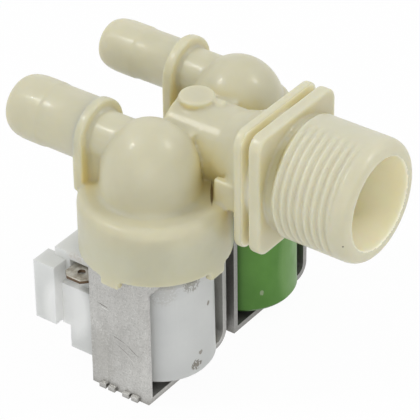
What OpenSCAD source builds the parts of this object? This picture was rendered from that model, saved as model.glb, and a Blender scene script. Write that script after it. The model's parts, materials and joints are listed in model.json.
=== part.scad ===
// Double water inlet valve of a washing machine: two solenoid valves side by side on one inlet.
// X runs along the inlet toward its mouth, Y from the white-coil valve to the green-coil valve,
// and Z is up. The origin lies under the middle of the overall length, midway between the valves,
// on the plane that the yokes stand on. Sizes along X below start from the plane of the valve axes.

/* [Valve layout] */
// Gap between the two yokes
yoke_gap = 2.8; // [2.4:0.1:5.6]
// Height of the inlet axis above the yokes
inlet_rise = 20.1; // [19.4:0.1:22.4]
// Height of the outlet axes above the yokes
outlet_rise = 23.8; // [22.9:0.1:24.9]

/* [Inlet] */
// Outer diameter of the inlet thread
thread_d = 26.44; // [26:0.01:27]
// Bore at the inlet mouth
mouth_bore_d = 19.8; // [18.5:0.1:21]
// Rim diameter where the lead-in ends
mouth_rim_d = 22.9; // [22:0.1:24]
// Distance from the valve plane to the mouth
mouth_x = 44.1; // [43:0.1:48]
// Length of the smooth lead-in
lead_len = 3; // [2:0.5:4]
// Distance from one thread crest to the next
thread_pitch = 1.814; // [1.5:0.001:2.5]
// Height of the thread above its root
thread_depth = 0.8; // [0.3:0.05:1]
// Distance from the valve plane to the start of the thread
thread_start_x = 26.8; // [26.5:0.1:28]
// Diameter of the neck behind the thread
relief_d = 24; // [23:0.1:25]
// Width of the mounting flanges
flange_w = 26.8; // [26:0.1:32]
// Height of the mounting flanges
flange_h = 27.8; // [27:0.1:32]
// Corner radius of the flanges
flange_r = 3; // [2:0.5:5]
// Thickness of the rear flange
rear_flange_t = 1.9; // [1.5:0.1:2.5]
// Thickness of the front flange
front_flange_t = 2.8; // [2:0.1:3]
// Gap for the cabinet panel
panel_gap = 1.7; // [1.2:0.1:2]
// Back face of the rear flange
flange_x = 17.9; // [17.5:0.1:18.2]
// Bore of the inlet passage behind the strainer
passage_d = 13; // [10:0.5:14]
// Outer diameter of the manifold
manifold_d = 16.6; // [16:0.2:18]

/* [Outlets] */
// Diameter of the white-coil outlet tail
tail_wide_d = 13.5; // [12:0.1:14.4]
// Diameter of the green-coil outlet tail
tail_narrow_d = 11.2; // [10.5:0.1:13]
// Height of the ridge at the end of each tail
ridge_h = 0.08; // [0.02:0.01:0.09]
// End of the tails, measured from the valve plane
tail_end_x = 34.3; // [33:0.1:38]
// Length of the tapered lead at the end of each tail
tail_lead = 3.8; // [3:0.1:5]
// Diameter of the white-coil outlet at its tip
tip_wide_d = 9.7; // [9:0.1:11]
// Diameter of the green-coil outlet at its tip
tip_narrow_d = 9; // [9:0.1:9.8]
// Water bore of the outlets
outlet_bore_d = 7; // [5:0.2:7.2]
// Radius of the collar at the root of each tail
collar_r = 7.3; // [7.2:0.1:8]
// Thickness of the collar
collar_t = 2.4; // [2:0.1:3]
// Back face of the collar, measured from the valve plane
collar_x = 15.4; // [15:0.1:16]
// Diameter of the pipe from the collar to the dome
pipe_d = 10.3; // [10:0.1:12]

/* [Valve housings] */
// Overhang of the housing rings beyond the yokes
ring_over = 2.2; // [2.1:0.1:2.5]
// Gap between the yokes and the housing rings
ring_gap = 2; // [1.8:0.1:3]
// Height of the housing rings
ring_h = 13.1; // [12.9:0.1:13.6]
// Shoulder radius of the rings
ring_round = 2.4; // [1:0.1:3]
// Radius at the foot of the domes
dome_r = 10.5; // [10.2:0.1:10.8]
// Radius where the domes begin to close
dome_neck_r = 10.2; // [9.8:0.1:10.4]
// Height of the domes above the rings
dome_h = 15.5; // [15:0.1:16.4]
// Shift of the domes toward the outlets
dome_shift = 1; // [0.6:0.1:1.2]
// Diameter of the water seat lip
seat_d = 11.2; // [10:0.1:12]
// Water bore through the seat
seat_bore_d = 8.4; // [7.6:0.1:8.6]
// Width of the sealing shoulder around the chamber
shoulder_w = 2.05; // [1.8:0.05:2.4]
// Width of the snap lugs under each ring
lug_w = 4.6; // [3:0.1:6]
// Height of the webs between the housing rings and the rear flange
web_h = 5.3; // [4:0.1:6]

/* [Solenoids] */
// Width of the yoke strip along X
yoke_w = 14.7; // [14:0.1:16]
// Height of the yoke frame
yoke_h = 28.6; // [26:0.1:32]
// Thickness of the yoke strip
yoke_t = 1.3; // [1:0.1:1.5]
// Outer bend radius of the yoke
yoke_bend = 3.5; // [2:0.5:4]
// Diameter of the coil drum at its foot
drum_d = 23.6; // [22:0.1:26]
// Gap between the drum and the sides of the yoke
drum_gap = 0.6; // [0.4:0.1:1]
// Gap between the drum and the floor of the yoke
drum_lift = 1.7; // [1.2:0.1:2.2]
// Reach of the connector block beyond the drum
block_reach = 7.8; // [7:0.1:9]
// Length of the connector block along X
block_len = 15; // [14:0.1:16]
// Diameter of the copper winding
winding_d = 20.8; // [18:0.2:21.2]
// Outer diameter of the guide tubes
guide_d = 9.5; // [9.3:0.1:9.6]
// Bore of the guide tubes
guide_bore_d = 8.1; // [8.1:0.01:8.2]
// Radial running clearance of the plungers
plunger_gap = 0.06; // [0.04:0.01:0.1]
// Length of the plungers
plunger_len = 20.6; // [20:0.1:21]
// Width of the contact blades
blade_w = 6.3; // [4.8:0.1:6.3]
// Thickness of the contact blades
blade_t = 0.8; // [0.5:0.1:0.8]

/* [Hidden] */
$fn = 64;
eps = 0.01;
// solenoid and ring sizes that carry the rest
yoke_d = drum_d + 2*(drum_gap + yoke_t);
valve_pitch = yoke_d + yoke_gap;
ys = [-valve_pitch/2, valve_pitch/2];
ring_r = yoke_d/2 + ring_over;
ring_z0 = yoke_h + ring_gap;
ring_z1 = ring_z0 + ring_h;
inlet_z = yoke_h + inlet_rise;
outlet_z = yoke_h + outlet_rise;
dome_z = ring_z1 + dome_h;
dome_neck_z = dome_z - 1.18*dome_neck_r;
// inlet stations along X
flange_x1 = flange_x + rear_flange_t;
flange_x2 = flange_x1 + panel_gap;
flange_x3 = flange_x2 + front_flange_t;
holder_x = flange_x2 + 0.9;
holder_len = 3.6;
strainer_x = holder_x + holder_len;
strainer_t = 3.8;
strainer_r = mouth_bore_d/2 - 0.25;
mouth_bore_x = strainer_x + strainer_t + 0.2;
washer_r = strainer_r - 2.25;
washer_hole_r = 2.6;
washer_t = 2.1;
holder_floor_t = 1.4;
rim_w = 1.4;
crest_w = 0.8;
thread_flank = 0.5*thread_depth + 0.02;
land_x = mouth_x - lead_len;
crest_x = thread_start_x + thread_flank;
crests = floor((land_x - crest_x - 0.3)/thread_pitch) + 1;
// manifold
manifold_x0 = -4.6;
cone_x0 = 9;
cone_end_d = relief_d - 1.6;
boss_x = -0.6;
boss_r = 3.9;
boss_rise = 9.6;
bridge_x0 = -4.2;
bridge_len = 8.4;
web_len = 5.7;
web_w = 1.8;
web_y = flange_w/2 - 2.2;
port_x = 1.5;
port_r = 2.2;
// seal stack heights inside each ring
lug_drop = 2.1;
lug_z = ring_z0 - lug_drop;
tube_flange_z0 = ring_z0 - 0.1;
tube_flange_t = 2.4;
tube_flange_z1 = tube_flange_z0 + tube_flange_t;
socket_r = ring_r - 1.45;
tube_flange_r = socket_r - 0.15;
tube_neck_r = 9;
bead_h = 2.4;
seat_rise = 1.9;
chamber_h = 4.8;
bead_z = tube_flange_z1 + bead_h;
seat_z = bead_z + seat_rise;
chamber_z = seat_z + chamber_h;
chamber_r = socket_r - shoulder_w;
riser_r = 6;
membrane_t = 1;
roll_r = 1.6;
roll_gap = 1.2;
membrane_r = chamber_r - roll_r - roll_gap;
insert_t = 1.6;
insert_r = membrane_r - roll_r - roll_gap;
insert_z0 = seat_z - membrane_t - insert_t;
nozzle_h = 0.7;
nozzle_z = insert_z0 - nozzle_h;
nozzle_r = 1.3;
stem_r = 2.8;
cap_r = 3.7;
pilot_r = 0.6;
bleed_r = 0.35;
// plunger stack
plunger_r = guide_bore_d/2 - plunger_gap;
floor_z = 2;
tube_end_t = 1.4;
plunger_z1 = nozzle_z - 1.3;
plunger_z0 = plunger_z1 - plunger_len;
tip_r = 1.9;
tip_depth = 2;
spring_wire = 0.5;
spring_r = 2.9;
spring_turns = 6;
spring_pocket = 3;
// staked tabs of the yokes
tab_x = 3;
tab_w = 1.7;
tab_split = 1.15;
tab_out = 0.9;
tab_inset = 0.1;
// coil stack
drum_z0 = yoke_t + drum_lift;
drum_z1 = yoke_h - yoke_t - 0.4;
bobbin_bore_r = 6.45;
bobbin_wall = 0.9;
cheek_r = drum_d/2 - 0.8;
cheek_t = 1;
cheek_z0 = drum_z0 + 1.1;
cheek_z1 = drum_z1 - 0.9;
sleeve_r = bobbin_bore_r - 0.15;
sleeve_bore_r = guide_d/2 + 0.1;
upper_sleeve_len = 10.5;
lower_sleeve_len = 8;
// connector block beside each drum, measured from the valve axis
block_x0 = -drum_d/2 - block_reach;
block_x1 = block_x0 + block_len;
wall_y0 = 0.7 - drum_d/2;
block_y0 = wall_y0 + 1.6;
block_y1 = -0.7;
block_h = 17.3;
block_z0 = drum_z1 - block_h;
wall_x0 = block_x0 + 2.6;
wall_h = 10.2;
skirt_x0 = block_x0 + 4.6;
prong_x0 = block_x0 - 2.6;
prong_y0 = block_y0 - 4;
prong_w = 5.4;
prong_t = 5;
prong_h = 14.4;
prong_z0 = block_z0 + 0.8;
link_w = 3;
link_h = 12.8;
blade_x0 = block_x0 + 4.7;
blade_z = drum_z1 - 3.4;
blade_grip = 2.9;
blade_out = 3.9;
blade_root_y = block_y0 + blade_grip;
blade_tip_y = block_y0 - blade_out;
pocket_depth = 2.1;
pocket_h = 2.6;
far_blade_x0 = block_x0 + 0.2;
far_blade_out = 7.3;
far_blade_tip_y = block_y1 + far_blade_out;
far_blade_root_y = block_y1 - blade_grip;
hole_y = 2.9;
hole_d = 1.6;

// points of an arc about (cx, cy), for profiles that are spun
function arc(cx, cy, rx, ry, a0, a1, n = 8) =
    [for (i = [0:n]) let (a = a0 + (a1 - a0)*i/n) [cx + rx*cos(a), cy + ry*sin(a)]];

// turns a profile drawn as (radius, distance) so that the distance runs along +X
module along_x(x = 0, z = inlet_z, y = 0) translate([x, y, z]) rotate([0, 90, 0]) children();

module bar_x(x0, x1, r, z = inlet_z, y = 0) along_x(x0, z, y) cylinder(r = r, h = x1 - x0);

module rounded_plate(w, h, r) {
    square([w - 2*r, h], center = true);
    square([w, h - 2*r], center = true);
    for (sx = [-1, 1], sy = [-1, 1])
        translate([sx*(w/2 - r), sy*(h/2 - r)]) circle(r);
}

// square flange across the inlet, from x0 to x1
module flange(x0, x1)
    along_x(x0) linear_extrude(x1 - x0) rounded_plate(flange_h, flange_w, flange_r);

// ridge number i of the thread, as (radius, distance) points from its rear root to its front root
function ridge(i) = let (x = crest_x + i*thread_pitch, r = thread_d/2)
    [[r - thread_depth, x - thread_flank], [r, x], [r, x + crest_w],
     [r - thread_depth, x + crest_w + thread_flank]];

// the last crest runs on into the smooth land behind the rounded lead-in
function ridges() = [for (i = [0:crests - 1], k = [0:(i < crests - 1 ? 3 : 1)]) ridge(i)[k]];

// thread as a stack of crests, with the lead-in to the mouth
module thread_spigot() {
    lead = (thread_d - mouth_rim_d)/2;
    along_x(0) rotate_extrude() polygon(concat(
        [[0, thread_start_x]], ridges(),
        arc(mouth_rim_d/2, land_x, lead, lead_len, 0, 90, 6),
        [[0, mouth_x]]));
}

module ring_shell()
    rotate_extrude() polygon(concat(
        [[0, ring_z0], [ring_r, ring_z0]],
        arc(ring_r - ring_round, ring_z1 - ring_round, ring_round, ring_round, 0, 90),
        [[0, ring_z1]]));

// riser over the seat: tapered foot with a fillet, closed by a rounded cap
module dome() {
    foot_r = 0.9;
    translate([-dome_shift, 0, 0]) rotate_extrude() polygon(concat(
        [[0, ring_z1 - 1], [dome_r + foot_r, ring_z1 - 1]],
        arc(dome_r + foot_r, ring_z1 + foot_r, foot_r, foot_r, 270, 180, 5),
        arc(0, dome_neck_z, dome_neck_r, dome_z - dome_neck_z, 0, 90, 12)));
}

// hose tail pointing to -X, with a ridge and a tapered lead at its end
module tail(d, tip_d) {
    r = d/2;
    ridge_x = tail_end_x - tail_lead;
    rotate([0, -90, 0]) rotate_extrude() polygon(concat(
        [[0, collar_x - 1], [r, collar_x - 1], [r, ridge_x - 3], [r + ridge_h, ridge_x - 1]],
        arc(tip_d/2, ridge_x, r + ridge_h - tip_d/2, tail_lead, 0, 90, 6),
        [[0, tail_end_x]]));
}

module outlet_outer(d, tip_d) {
    translate([0, 0, outlet_z]) {
        rotate([0, -90, 0]) cylinder(d = pipe_d, h = collar_x);
        translate([-collar_x + collar_t, 0, 0]) rotate([0, -90, 0]) cylinder(r = collar_r, h = collar_t);
        tail(d, tip_d);
    }
    translate([-collar_x, -collar_r, ring_z1 - 2]) cube([collar_t, 2*collar_r, outlet_z - ring_z1 + 2]);
}

module outlet_bore() {
    translate([0, 0, outlet_z]) rotate([0, -90, 0]) cylinder(d = outlet_bore_d, h = tail_end_x + 1);
    translate([0, 0, seat_z - 1]) cylinder(d = seat_bore_d, h = dome_neck_z - seat_z + 1);
    translate([-dome_shift, 0, ring_z1 + 1]) cylinder(r = riser_r, h = dome_neck_z - ring_z1);
    translate([-dome_shift, 0, dome_neck_z + 1]) sphere(r = riser_r);
}

// chamber around the seat lip, and the socket for the diaphragm and guide tube below it
module ring_cavity() {
    difference() {
        translate([0, 0, bead_z - eps]) cylinder(r = chamber_r, h = chamber_z - bead_z + eps);
        translate([0, 0, seat_z]) cylinder(d = seat_d, h = chamber_z - seat_z + 1);
    }
    translate([0, 0, ring_z0 - 1]) cylinder(r = socket_r, h = bead_z - ring_z0 + 1);
}

// snap lugs that hold the guide tube flange from below
module lugs(out) {
    for (a = [0, 180, out]) rotate(a) intersection() {
        translate([0, 0, lug_z]) difference() {
            cylinder(r = ring_r, h = ring_z0 - lug_z + 1);
            translate([0, 0, -1]) cylinder(r = yoke_d/2 + 0.2, h = tube_flange_z0 - lug_z + 1);
            translate([0, 0, tube_flange_z0 - lug_z - eps]) cylinder(r = socket_r, h = 3);
        }
        translate([ring_r/2, -lug_w/2, lug_z - 1]) cube([ring_r, lug_w, ring_h]);
    }
}

// conical neck from the manifold to the rear flange, with the webs on its flanks
module manifold_outer() {
    bar_x(manifold_x0, cone_x0 + 1, manifold_d/2);
    along_x(cone_x0) cylinder(d1 = manifold_d, d2 = cone_end_d, h = flange_x - cone_x0 + eps);
    translate([boss_x, 0, inlet_z]) cylinder(r = boss_r, h = boss_rise);
    translate([bridge_x0, -valve_pitch/2, ring_z1 - 1])
        cube([bridge_len, valve_pitch, outlet_z - ring_z1 + 2]);
    for (s = [-1, 1]) translate([flange_x - web_len, s*web_y - web_w/2, ring_z1 - 1])
        cube([web_len + eps, web_w, web_h + 1]);
}

module valve_body() color("#ded9b8") difference() {
    union() {
        manifold_outer();
        flange(flange_x, flange_x1);
        bar_x(flange_x1 - eps, flange_x2 + eps, relief_d/2);
        flange(flange_x2, flange_x3);
        bar_x(flange_x3 - eps, thread_start_x + eps, relief_d/2);
        thread_spigot();
        for (i = [0, 1]) translate([0, ys[i], 0]) {
            ring_shell();
            dome();
            outlet_outer([tail_wide_d, tail_narrow_d][i], [tip_wide_d, tip_narrow_d][i]);
            lugs(i == 0 ? -90 : 90);
        }
    }
    bar_x(mouth_bore_x, mouth_x + 1, mouth_bore_d/2);
    bar_x(holder_x, mouth_bore_x + eps, strainer_r);
    bar_x(manifold_x0 + 2.5, holder_x + eps, passage_d/2);
    for (i = [0, 1]) translate([0, ys[i], 0]) {
        outlet_bore();
        ring_cavity();
    }
    for (s = [-1, 1]) translate([port_x, s*(valve_pitch/2 - chamber_r + 1.6), chamber_z - 1])
        cylinder(r = port_r, h = inlet_z - chamber_z + 1);
}

// basket strainer pushed into the inlet bore, with a ring, ribs and a mesh end
module inlet_strainer() color("#c9cfd2") {
    cap_x = strainer_x + strainer_t - 1.6;
    cap_outer_r = 0.7*strainer_r;
    difference() {
        union() {
            bar_x(strainer_x, cap_x, strainer_r);
            bar_x(cap_x - eps, strainer_x + strainer_t, cap_outer_r);
        }
        bar_x(strainer_x - 1, strainer_x + 1, strainer_r - rim_w);
        bar_x(strainer_x, cap_x + 0.8, cap_outer_r - 0.8);
        for (a = [0:30:330]) translate([strainer_x + 1 - eps, 0, inlet_z]) rotate([a, 0, 0])
            translate([0, 0, 0.8*strainer_r]) rotate([0, 90, 0]) cylinder(d = rim_w - 0.1, h = 3, $fn = 24);
        for (k = [0:5]) translate([cap_x, 0, inlet_z]) rotate([60*k, 0, 0])
            translate([0, 0, 0.37*strainer_r]) rotate([0, 90, 0])
                cylinder(r = 0.16*cap_outer_r, h = 3, $fn = 24);
        bar_x(cap_x, strainer_x + strainer_t + 1, 0.18*cap_outer_r);
    }
}

// rubber flow washer that narrows as the mains pressure rises
module flow_washer() color("#3a3a38") difference() {
    bar_x(holder_x + holder_floor_t, holder_x + holder_floor_t + washer_t, washer_r);
    bar_x(holder_x, strainer_x, washer_hole_r);
}

// plastic cup that carries the flow washer on the shoulder of the bore
module flow_washer_holder() color("#e8e6df") difference() {
    bar_x(holder_x, strainer_x, strainer_r);
    bar_x(holder_x + holder_floor_t, strainer_x + 1, washer_r);
    bar_x(holder_x - 1, strainer_x, washer_hole_r + 0.8);
    for (a = [45:90:315]) translate([holder_x - 1, 0, inlet_z]) rotate([a, 0, 0])
        translate([0, 0, washer_hole_r + 2.4]) rotate([0, 90, 0])
            cylinder(r = 0.3*washer_hole_r, h = 3, $fn = 24);
}

// closed tube that guides the plunger, with the flange that closes the ring from below
module guide_tube() color("#e4e2da") difference() {
    union() {
        translate([0, 0, floor_z - tube_end_t])
            cylinder(d = guide_d, h = tube_flange_z0 - floor_z + tube_end_t + eps);
        translate([0, 0, yoke_h]) cylinder(r = tube_neck_r, h = tube_flange_z0 - yoke_h + eps);
        translate([0, 0, tube_flange_z0]) cylinder(r = tube_flange_r, h = tube_flange_t);
    }
    translate([0, 0, floor_z]) cylinder(d = guide_bore_d, h = tube_flange_z1);
    translate([0, 0, tube_flange_z1 - 0.8]) cylinder(r = chamber_r - 0.8, h = 2);
}

// rubber disc with a clamped bead and a rolled web, resting on the seat lip
module diaphragm() color("#4a4846") {
    under_z = seat_z - membrane_t;
    bead_r = chamber_r - 0.1;
    rotate_extrude() polygon(concat(
        [[stem_r, under_z]],
        arc(membrane_r, under_z, roll_r, 0.75*roll_r, 180, 360, 6),
        [[chamber_r - 0.6, under_z], [chamber_r - 0.6, tube_flange_z1], [socket_r - 0.05, tube_flange_z1],
         [socket_r - 0.05, bead_z], [bead_r, bead_z], [bead_r, seat_z]],
        arc(membrane_r, seat_z, roll_r/2, 0.38*roll_r, 360, 180, 6),
        [[stem_r, seat_z]]));
}

// hard centre of the diaphragm, with the pilot hole and the bleed hole
module pilot_insert() color("#efeee8") difference() {
    union() {
        translate([0, 0, insert_z0]) cylinder(r = insert_r, h = insert_t);
        translate([0, 0, nozzle_z]) cylinder(r1 = nozzle_r, r2 = 1.7*nozzle_r, h = nozzle_h + eps);
        translate([0, 0, seat_z - membrane_t - eps]) cylinder(r = stem_r, h = membrane_t + 2*eps);
        translate([0, 0, seat_z]) cylinder(r1 = cap_r, r2 = 0.8*cap_r, h = insert_t);
    }
    translate([0, 0, nozzle_z - 1]) cylinder(r = pilot_r, h = 8, $fn = 24);
    translate([insert_r - 0.6, 0, insert_z0 - 1]) cylinder(r = bleed_r, h = insert_t + 2, $fn = 24);
}

// soft iron plunger, recessed for its rubber tip and for the spring below
module plunger() color("#b9bcbe") difference() {
    translate([0, 0, plunger_z0]) cylinder(r = plunger_r, h = plunger_len);
    translate([0, 0, plunger_z1 - tip_depth]) cylinder(r = tip_r, h = tip_depth + 1);
    translate([0, 0, plunger_z0 - 1]) cylinder(r = spring_r + spring_wire, h = spring_pocket + 1);
    for (s = [-1, 1]) translate([s*(plunger_r + 0.4) - 0.8, -0.6, plunger_z0 - 1])
        cube([1.6, 1.2, plunger_len + 2]);
}

module plunger_tip() color("#2f2e2c")
    translate([0, 0, plunger_z1 - tip_depth]) cylinder(r = tip_r, h = nozzle_z - plunger_z1 + tip_depth);

// corner of the spring wire, k of 4, after turning by the angle a
function wire_corner(a, z, k) = let (
        dr = (k == 1 || k == 2 ? 1 : -1)*spring_wire/2,
        dz = (k > 1 ? 1 : -1)*spring_wire/2)
    [(spring_r + dr)*cos(a), (spring_r + dr)*sin(a), z + dz];

// compression spring under the plunger
module plunger_spring() color("#c8cacb") {
    steps = 16;
    n = spring_turns*steps;
    lift = (plunger_z0 + spring_pocket - floor_z - spring_wire)/n;
    pts = [for (i = [0:n], k = [0:3])
        wire_corner(360*i/steps, floor_z + spring_wire/2 + i*lift, k)];
    sides = [for (i = [0:n - 1], k = [0:3])
        [4*i + k, 4*i + (k + 1) % 4, 4*i + 4 + (k + 1) % 4, 4*i + 4 + k]];
    polyhedron(pts, concat([[3, 2, 1, 0]], sides, [[4*n, 4*n + 1, 4*n + 2, 4*n + 3]]));
}

// outline of the yoke seen along X: bent at the back, square where the front plate closes it
module yoke_outline(inset) {
    a = yoke_d/2 - inset;
    z0 = inset;
    z1 = yoke_h - inset;
    r = yoke_bend - inset;
    translate([-a, z0]) square([2*a - r, z1 - z0]);
    translate([-a, z0 + r]) square([2*a, z1 - z0 - 2*r]);
    for (z = [z0 + r, z1 - r]) translate([a - r, z]) circle(r);
}

// strip bent round the coil, whose split tabs are staked through the front plate at both ends
module yoke() color("#b4b5b3") difference() {
    union() {
        translate([-yoke_w/2, 0, 0]) rotate([90, 0, 90]) linear_extrude(yoke_w) difference() {
            yoke_outline(0);
            yoke_outline(yoke_t);
        }
        for (x = [-tab_x, tab_x], s = [-1, 1], z = [tab_inset, yoke_h - yoke_t + tab_inset])
            translate([x + s*tab_split - tab_w/2, -yoke_d/2 - tab_out, z])
                cube([tab_w, tab_out + yoke_t/2, yoke_t - 2*tab_inset]);
    }
    translate([0, 0, -1]) cylinder(r = sleeve_r, h = yoke_h + 2);
}

module upper_sleeve() color("#a7a9aa") difference() {
    translate([0, 0, yoke_h - upper_sleeve_len]) cylinder(r = sleeve_r, h = upper_sleeve_len);
    translate([0, 0, yoke_h - upper_sleeve_len - 1]) cylinder(r = sleeve_bore_r, h = upper_sleeve_len + 2);
}

module lower_sleeve() color("#a7a9aa") difference() {
    cylinder(r = sleeve_r, h = lower_sleeve_len);
    translate([0, 0, -1]) cylinder(r = sleeve_bore_r, h = lower_sleeve_len + 2);
}

module bobbin() color("#d9d6cc") difference() {
    union() {
        translate([0, 0, cheek_z0]) cylinder(r = cheek_r, h = cheek_t);
        translate([0, 0, cheek_z0]) cylinder(r = bobbin_bore_r + bobbin_wall, h = cheek_z1 - cheek_z0);
        translate([0, 0, cheek_z1 - cheek_t]) cylinder(r = cheek_r, h = cheek_t);
    }
    translate([0, 0, cheek_z0 - 1]) cylinder(r = bobbin_bore_r, h = cheek_z1 - cheek_z0 + 2);
}

module winding() color("#b8642e") difference() {
    translate([0, 0, cheek_z0 + cheek_t]) cylinder(d = winding_d, h = cheek_z1 - cheek_z0 - 2*cheek_t);
    translate([0, 0, cheek_z0]) cylinder(r = bobbin_bore_r + bobbin_wall, h = cheek_z1 - cheek_z0);
}

// block with the blade pocket that carries the contacts beside the drum
module connector_block() {
    translate([prong_x0, prong_y0, prong_z0]) cube([prong_w, prong_t, prong_h]);
    translate([prong_x0 + 1.8, prong_y0 + prong_t - 0.1, prong_z0 + 1.6]) cube([link_w, link_w, link_h]);
    translate([wall_x0, wall_y0, block_z0]) cube([block_x1 - wall_x0 + 0.6, block_y1 - wall_y0, wall_h]);
    translate([block_x0, block_y0, block_z0]) cube([block_x1 - block_x0, block_y1 - block_y0, block_h]);
    translate([skirt_x0, wall_y0, drum_z0 + 1])
        cube([block_x1 - skirt_x0 + 0.6, block_y1 - wall_y0, block_z0 - drum_z0]);
    translate([skirt_x0, wall_y0 + 1.5, drum_z0])
        cube([block_x1 - skirt_x0 + 0.6, block_y1 - wall_y0 - 1.5, block_z0 - drum_z0]);
}

// drum moulded over the winding, with its connector block on the outlet side
module coil_cover(colour) color(colour) difference() {
    union() {
        rotate_extrude() polygon([[0, drum_z0], [drum_d/2 - 0.4, drum_z0], [drum_d/2, drum_z0 + 0.6],
            [drum_d/2 - 0.1, drum_z0 + 2], [drum_d/2 - 0.3, drum_z1 - 0.5], [drum_d/2 - 0.8, drum_z1],
            [0, drum_z1]]);
        connector_block();
    }
    translate([0, 0, drum_z0 - 1]) cylinder(r = bobbin_bore_r, h = drum_z1 - drum_z0 + 2);
    translate([0, 0, cheek_z0]) cylinder(r = cheek_r, h = cheek_t);
    translate([0, 0, cheek_z1 - cheek_t]) cylinder(r = cheek_r, h = cheek_t);
    translate([0, 0, cheek_z0 + cheek_t - eps])
        cylinder(d = winding_d, h = cheek_z1 - cheek_z0 - 2*cheek_t + 2*eps);
    translate([blade_x0 - 0.8, wall_y0 - 1, blade_z - 0.9])
        cube([blade_w + 2.4, pocket_depth + block_y0 - wall_y0 + 1, pocket_h]);
    translate([blade_x0, block_y0, blade_z]) cube([blade_w, blade_root_y - block_y0, blade_t]);
    translate([far_blade_x0, far_blade_root_y, blade_z]) cube([blade_w, 4, blade_t]);
}

// contact blade of length len that points to -Y, with clipped corners and a latch hole
module blade(len) {
    cut = 1.4;
    difference() {
        linear_extrude(blade_t) polygon([[-blade_w/2, len], [-blade_w/2, cut], [cut - blade_w/2, 0],
            [blade_w/2 - cut, 0], [blade_w/2, cut], [blade_w/2, len]]);
        translate([0, hole_y, -1]) cylinder(d = hole_d, h = 3, $fn = 24);
    }
}

// one contact faces out of the pocket, the other one leaves the far side of the block
module terminals() color("#8f8b84") {
    translate([blade_x0 + blade_w/2, blade_tip_y, blade_z]) blade(blade_root_y - blade_tip_y);
    translate([far_blade_x0 + blade_w/2, far_blade_tip_y, blade_z]) mirror([0, 1, 0])
        blade(far_blade_tip_y - far_blade_root_y);
}

// moves a piece from the plane of the valve axes to the frame of the part
module placed(y = 0) translate([(tail_end_x - mouth_x)/2, y, 0]) children();

placed() valve_body();
placed() inlet_strainer();
placed() flow_washer();
placed() flow_washer_holder();
placed(ys[0]) guide_tube();  // white_guide_tube
placed(ys[1]) guide_tube();  // green_guide_tube
placed(ys[0]) diaphragm();  // white_diaphragm
placed(ys[1]) diaphragm();  // green_diaphragm
placed(ys[0]) pilot_insert();  // white_pilot_insert
placed(ys[1]) pilot_insert();  // green_pilot_insert
placed(ys[0]) plunger();  // white_plunger
placed(ys[1]) plunger();  // green_plunger
placed(ys[0]) plunger_tip();  // white_plunger_tip
placed(ys[1]) plunger_tip();  // green_plunger_tip
placed(ys[0]) plunger_spring();  // white_plunger_spring
placed(ys[1]) plunger_spring();  // green_plunger_spring
placed(ys[0]) yoke();  // white_yoke
placed(ys[1]) yoke();  // green_yoke
placed(ys[0]) upper_sleeve();  // white_upper_sleeve
placed(ys[1]) upper_sleeve();  // green_upper_sleeve
placed(ys[0]) lower_sleeve();  // white_lower_sleeve
placed(ys[1]) lower_sleeve();  // green_lower_sleeve
placed(ys[0]) bobbin();  // white_bobbin
placed(ys[1]) bobbin();  // green_bobbin
placed(ys[0]) winding();  // white_winding
placed(ys[1]) winding();  // green_winding
placed(ys[0]) coil_cover("#dfe0dc");  // white_coil_cover
placed(ys[1]) coil_cover("#4f7f3a");  // green_coil_cover
placed(ys[0]) terminals();  // white_terminals
placed(ys[1]) terminals();  // green_terminals
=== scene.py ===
import json
import math

import bmesh
import bpy
from mathutils import Matrix, Vector


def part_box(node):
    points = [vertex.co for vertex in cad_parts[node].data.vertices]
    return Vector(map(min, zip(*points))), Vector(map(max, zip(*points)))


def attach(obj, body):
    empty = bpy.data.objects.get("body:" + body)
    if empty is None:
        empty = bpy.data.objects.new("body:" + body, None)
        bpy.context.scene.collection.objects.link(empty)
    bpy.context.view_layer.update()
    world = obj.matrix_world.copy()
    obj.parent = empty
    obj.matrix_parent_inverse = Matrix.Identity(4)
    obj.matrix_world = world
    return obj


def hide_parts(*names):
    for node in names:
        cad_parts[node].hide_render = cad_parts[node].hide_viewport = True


bl_info = {
    "name": "Washing machine inlet valve",
    "version": (1, 0, 0),
    "blender": (4, 5, 0),
    "location": "View3D > Sidebar > Inlet valve",
    "description": "Dresses the solids of a double water inlet valve and sets its stage",
    "category": "Object",
}

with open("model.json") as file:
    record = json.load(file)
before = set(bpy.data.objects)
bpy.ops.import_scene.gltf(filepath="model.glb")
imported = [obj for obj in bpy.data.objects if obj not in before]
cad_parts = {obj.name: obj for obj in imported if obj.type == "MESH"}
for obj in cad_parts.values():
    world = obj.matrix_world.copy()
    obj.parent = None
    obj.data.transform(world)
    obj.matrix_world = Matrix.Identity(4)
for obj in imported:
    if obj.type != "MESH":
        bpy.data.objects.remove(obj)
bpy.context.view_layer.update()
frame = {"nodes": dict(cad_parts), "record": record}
BODY = "valve"
MOUNTS = {mount["name"]: Vector(mount["pos_m"]) for mount in frame["record"]["mounts"]}
VALVES = ("white", "green")


def centre(node):
    """Middle of a solid's box, in metres."""
    low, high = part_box(node)
    return (low + high) / 2


# Shapes are drawn in millimetres from the plane of the valve axes, and moved to the frame at the end.
TO_FRAME = Matrix.Translation((centre("white_yoke").x, 0, 0)) @ Matrix.Scale(0.001, 4)
AXIS_Y = {valve: centre(valve + "_yoke").y * 1000 for valve in VALVES}
INLET_Z = MOUNTS["inlet_thread"].z * 1000
OUTLET_Z = MOUNTS["white_outlet_tail"].z * 1000


def along(axis, origin):
    """Placement that turns the local Z axis to an axis of the part, at an origin in millimetres."""
    return Matrix.Translation(origin) @ Vector(axis).to_track_quat("Z", "Y").to_matrix().to_4x4()


def arc(centre_r, centre_h, radius_r, radius_h, start, end, count=8):
    """Points of an elliptic arc of an (r, h) outline, with its angles in degrees."""
    angles = [math.radians(start + (end - start) * i / count) for i in range(count + 1)]
    return [(centre_r + radius_r * math.cos(a), centre_h + radius_h * math.sin(a)) for a in angles]


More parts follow.
